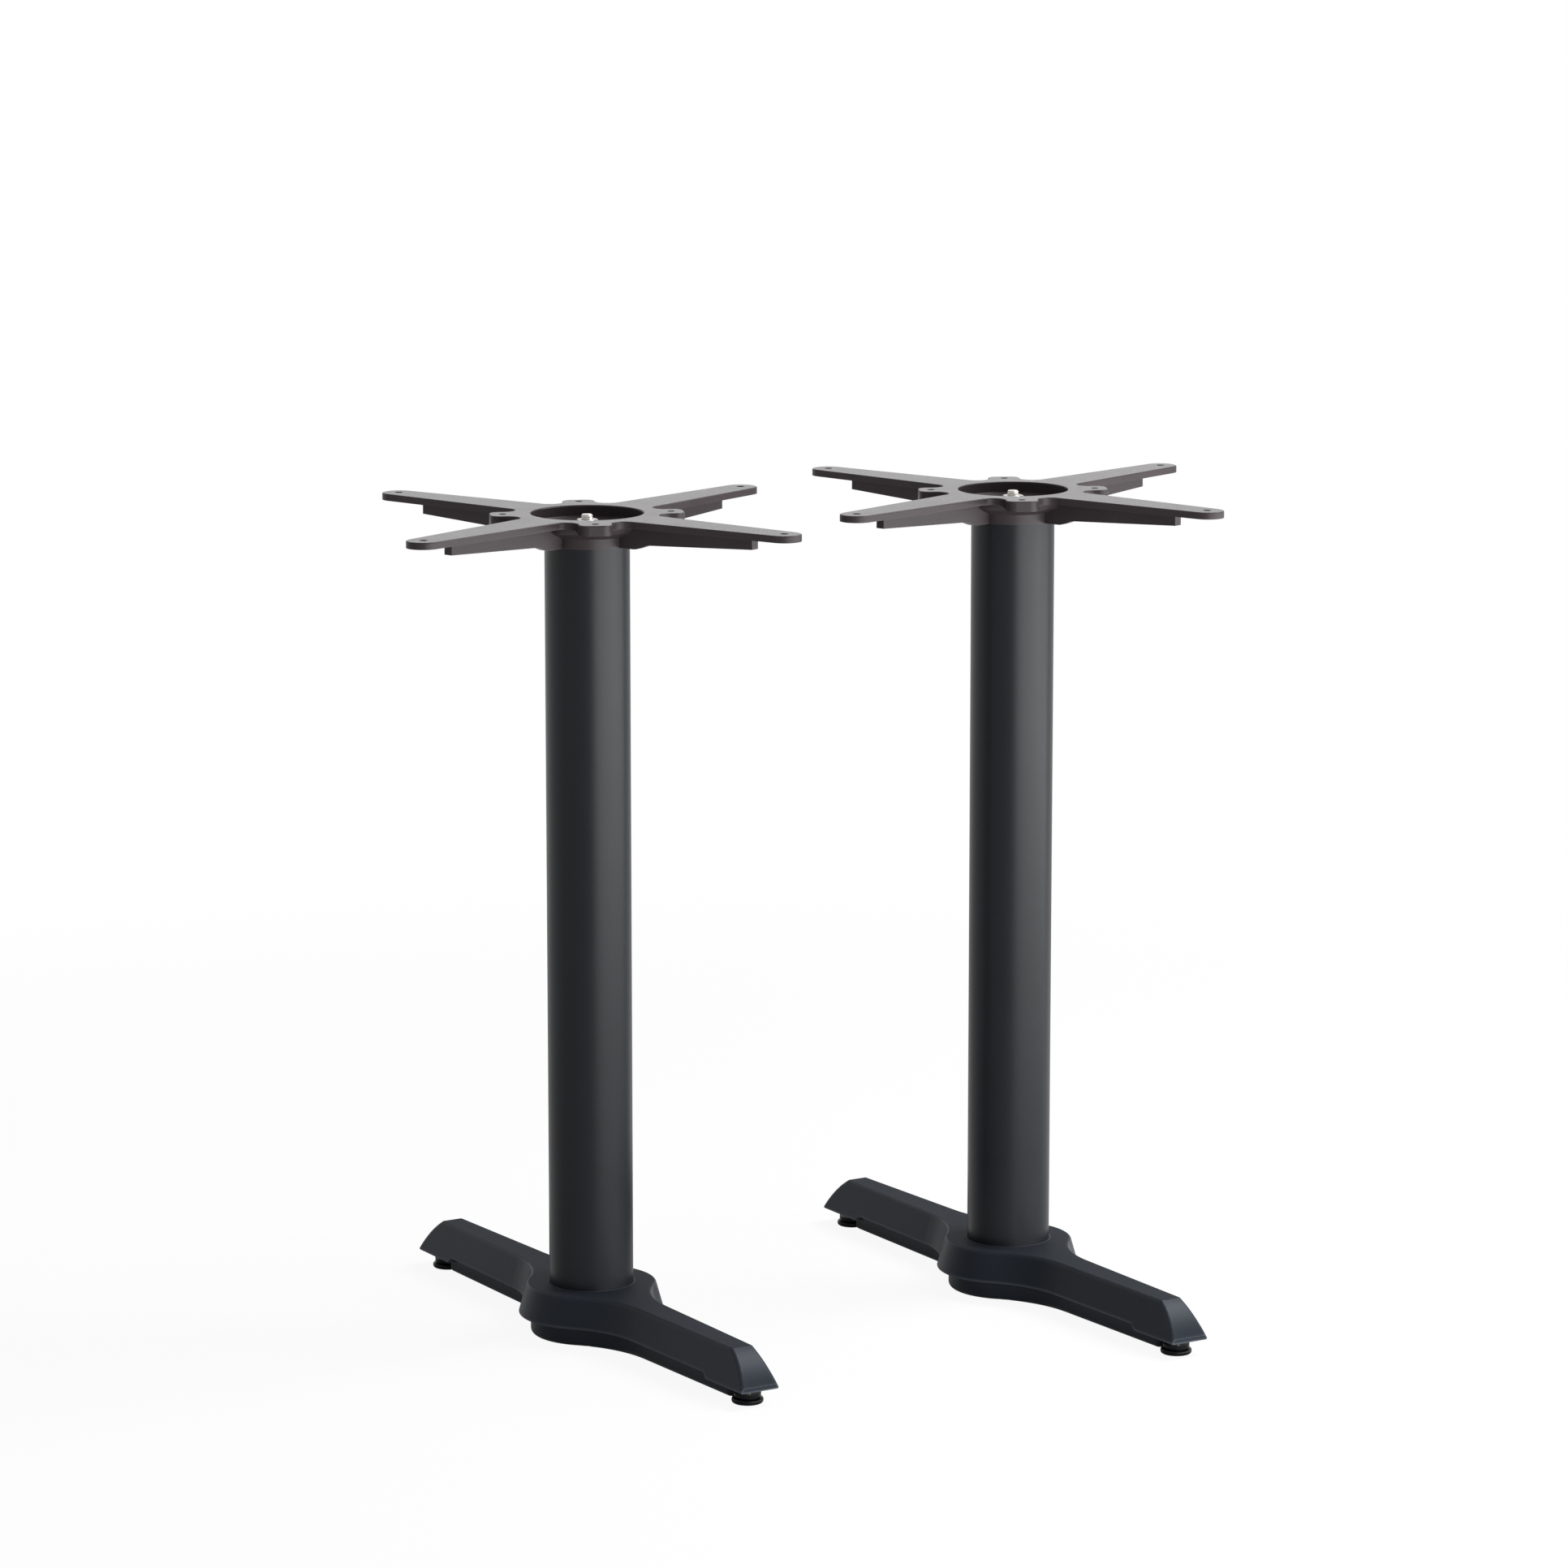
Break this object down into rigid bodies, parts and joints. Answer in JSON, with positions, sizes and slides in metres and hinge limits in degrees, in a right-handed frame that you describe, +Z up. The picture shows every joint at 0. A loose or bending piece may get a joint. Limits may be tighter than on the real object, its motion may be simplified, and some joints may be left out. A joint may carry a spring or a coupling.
{
  "type": "twin table base",
  "caption": "Pair of matching table pedestals: two-pronged cast feet on levelling glides, round tube columns, and four-armed spider plates that screw to a table top.",
  "frame": {"origin": "on the floor, in the middle of the pair's outline", "axes": "+X from the left column across to the right one, +Y along the feet towards the rear, +Z up"},
  "size_m": [0.8232, 0.624, 0.72],
  "materials": {
    "foot_paint": "black satin powder coat on cast iron",
    "column_paint": "black satin powder coat on steel tube",
    "spider_paint": "dull grey-brown primer on rough cast iron",
    "zinc_steel": "bright zinc plate",
    "glide_plastic": "black moulded plastic"
  },
  "bodies": {
    "frame": {"left_foot_casting": "foot_paint", "left_column_tube": "column_paint", "left_spider_plate": "spider_paint", "left_tie_rod": "zinc_steel", "left_top_flange_nut": "zinc_steel", "left_bottom_washer": "zinc_steel", "left_bottom_nut": "zinc_steel", "right_foot_casting": "foot_paint", "right_column_tube": "column_paint", "right_spider_plate": "spider_paint", "right_tie_rod": "zinc_steel", "right_top_flange_nut": "zinc_steel", "right_bottom_washer": "zinc_steel", "right_bottom_nut": "zinc_steel"},
    "left_front_glide": {"left_front_glide_pad": "glide_plastic", "left_front_glide_stud": "zinc_steel"},
    "left_rear_glide": {"left_rear_glide_pad": "glide_plastic", "left_rear_glide_stud": "zinc_steel"},
    "right_front_glide": {"right_front_glide_pad": "glide_plastic", "right_front_glide_stud": "zinc_steel"},
    "right_rear_glide": {"right_rear_glide_pad": "glide_plastic", "right_rear_glide_stud": "zinc_steel"}
  },
  "joints": [
    {"name": "left_front_glide_height", "type": "slide", "parent": "frame", "child": "left_front_glide", "axis": [0, 0, 1], "range_m": [-0.006, 0.003]},
    {"name": "left_rear_glide_height", "type": "slide", "parent": "frame", "child": "left_rear_glide", "axis": [0, 0, 1], "range_m": [-0.006, 0.003]},
    {"name": "right_front_glide_height", "type": "slide", "parent": "frame", "child": "right_front_glide", "axis": [0, 0, 1], "range_m": [-0.006, 0.003]},
    {"name": "right_rear_glide_height", "type": "slide", "parent": "frame", "child": "right_rear_glide", "axis": [0, 0, 1], "range_m": [-0.006, 0.003]}
  ]
}
